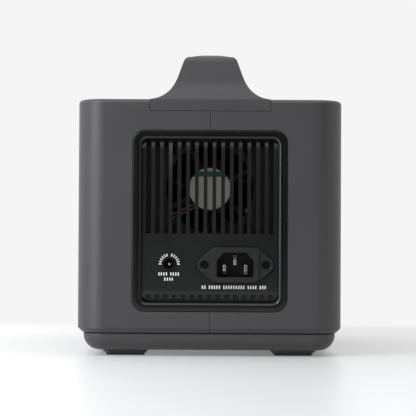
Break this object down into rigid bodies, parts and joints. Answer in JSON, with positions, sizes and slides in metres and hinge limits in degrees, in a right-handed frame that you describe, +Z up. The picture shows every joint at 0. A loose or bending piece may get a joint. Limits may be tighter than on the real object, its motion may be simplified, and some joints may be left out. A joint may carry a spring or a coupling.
{
  "type": "portable power station",
  "caption": "Portable power station: rounded grey box with a fixed carrying handle, a fan grille and input sockets at one end and outputs with a display at the other.",
  "frame": {"origin": "on the floor under the centre of the body", "axes": "+Z up; +Y along the handle, towards the display end; the fan and input end faces -Y; +X to the right when the input end is seen from the front"},
  "size_m": [0.173, 0.2801, 0.1968],
  "materials": {
    "housing_plastic": "satin, fine spark texture",
    "bezel_plastic": "semi-gloss",
    "panel_plastic": "matt",
    "inlet_plastic": "satin",
    "fan_plastic": "satin",
    "rubber": "matt",
    "ink_white": "printed ink",
    "plated_steel": "nickel plated",
    "black_steel": "black zinc",
    "tin_plate": "bright",
    "brass": "plain",
    "phenolic": "tan moulding",
    "label_paper": "printed film",
    "label_green": "printed film",
    "wire_red": "vinyl",
    "wire_black": "vinyl",
    "window_plastic": "polished, smoked",
    "display_module": "display module",
    "button_orange": "semi-gloss",
    "button_grey": "semi-gloss",
    "usb_tongue": "moulded",
    "board": "solder mask",
    "cell_wrap": "blue sleeve over a metal can",
    "holder_plastic": "moulded",
    "aluminium": "extruded",
    "ferrite": "ground ferrite",
    "winding": "enamelled copper",
    "taped_winding": "enamelled copper under dark tape",
    "cap_sleeve": "sleeved can"
  },
  "bodies": {
    "housing": {"left_shell": "housing_plastic", "right_shell": "housing_plastic", "bottom_tray": "housing_plastic", "foot_pads": "rubber", "tray_screws": "plated_steel", "handle": "housing_plastic", "handle_grip": "rubber", "handle_screws": "plated_steel", "rear_bezel": "bezel_plastic", "rear_panel": "panel_plastic", "rear_marks": "ink_white", "baffle_plate": "fan_plastic", "fan_frame": "fan_plastic", "fan_coils": "winding", "fan_bearing": "brass", "hub_label": "label_paper", "hub_band": "label_green", "fan_wire_red": "wire_red", "fan_wire_black": "wire_black", "fan_screws": "black_steel", "inlet_body": "inlet_plastic", "inlet_blades": "tin_plate", "inlet_keys": "phenolic", "inlet_screws": "black_steel", "dc_jack_body": "fan_plastic", "dc_jack_collar": "black_steel", "dc_jack_pin": "tin_plate", "front_bezel": "bezel_plastic", "front_panel": "panel_plastic", "front_marks": "ink_white", "display_window": "window_plastic", "display_module": "display_module", "socket_body": "bezel_plastic", "socket_contacts": "brass", "socket_earth_clips": "plated_steel", "car_socket_ring": "bezel_plastic", "car_socket_shell": "plated_steel", "car_socket_contact": "brass", "car_cap_pin": "plated_steel", "usb_shells": "plated_steel", "usb_tongues": "usb_tongue", "dc_out_jacks": "bezel_plastic", "dc_out_pins": "tin_plate", "control_board": "board", "cells": "cell_wrap", "cell_holders": "holder_plastic", "bus_bars": "plated_steel", "bms_board": "board", "inverter_board": "board", "heat_sinks": "aluminium", "transformer_core": "ferrite", "transformer_winding": "taped_winding", "capacitors": "cap_sleeve", "standoffs": "brass", "board_screws": "plated_steel"},
    "fan_wheel": {"fan_rotor": "fan_plastic"},
    "power_key": {"power_button": "button_orange"},
    "ac_key": {"ac_button": "button_grey"},
    "dc_key": {"dc_button": "button_grey"},
    "cap": {"car_cap": "rubber"}
  },
  "joints": [
    {"name": "fan_spin", "type": "hinge", "parent": "housing", "child": "fan_wheel", "pos_m": [0, -0.118, 0.1094], "axis": [0, -1, 0], "continuous": true},
    {"name": "power_press", "type": "slide", "parent": "housing", "child": "power_key", "axis": [0, -1, 0], "range_m": [0, 0.0008], "stiffness_N_per_m": 2500},
    {"name": "ac_press", "type": "slide", "parent": "housing", "child": "ac_key", "axis": [0, -1, 0], "range_m": [0, 0.0008], "stiffness_N_per_m": 2500},
    {"name": "dc_press", "type": "slide", "parent": "housing", "child": "dc_key", "axis": [0, -1, 0], "range_m": [0, 0.0008], "stiffness_N_per_m": 2500},
    {"name": "cap_hinge", "type": "hinge", "parent": "housing", "child": "cap", "pos_m": [0.027, 0.1387, 0.0716], "axis": [1, 0, 0], "range_deg": [0, 100]}
  ]
}
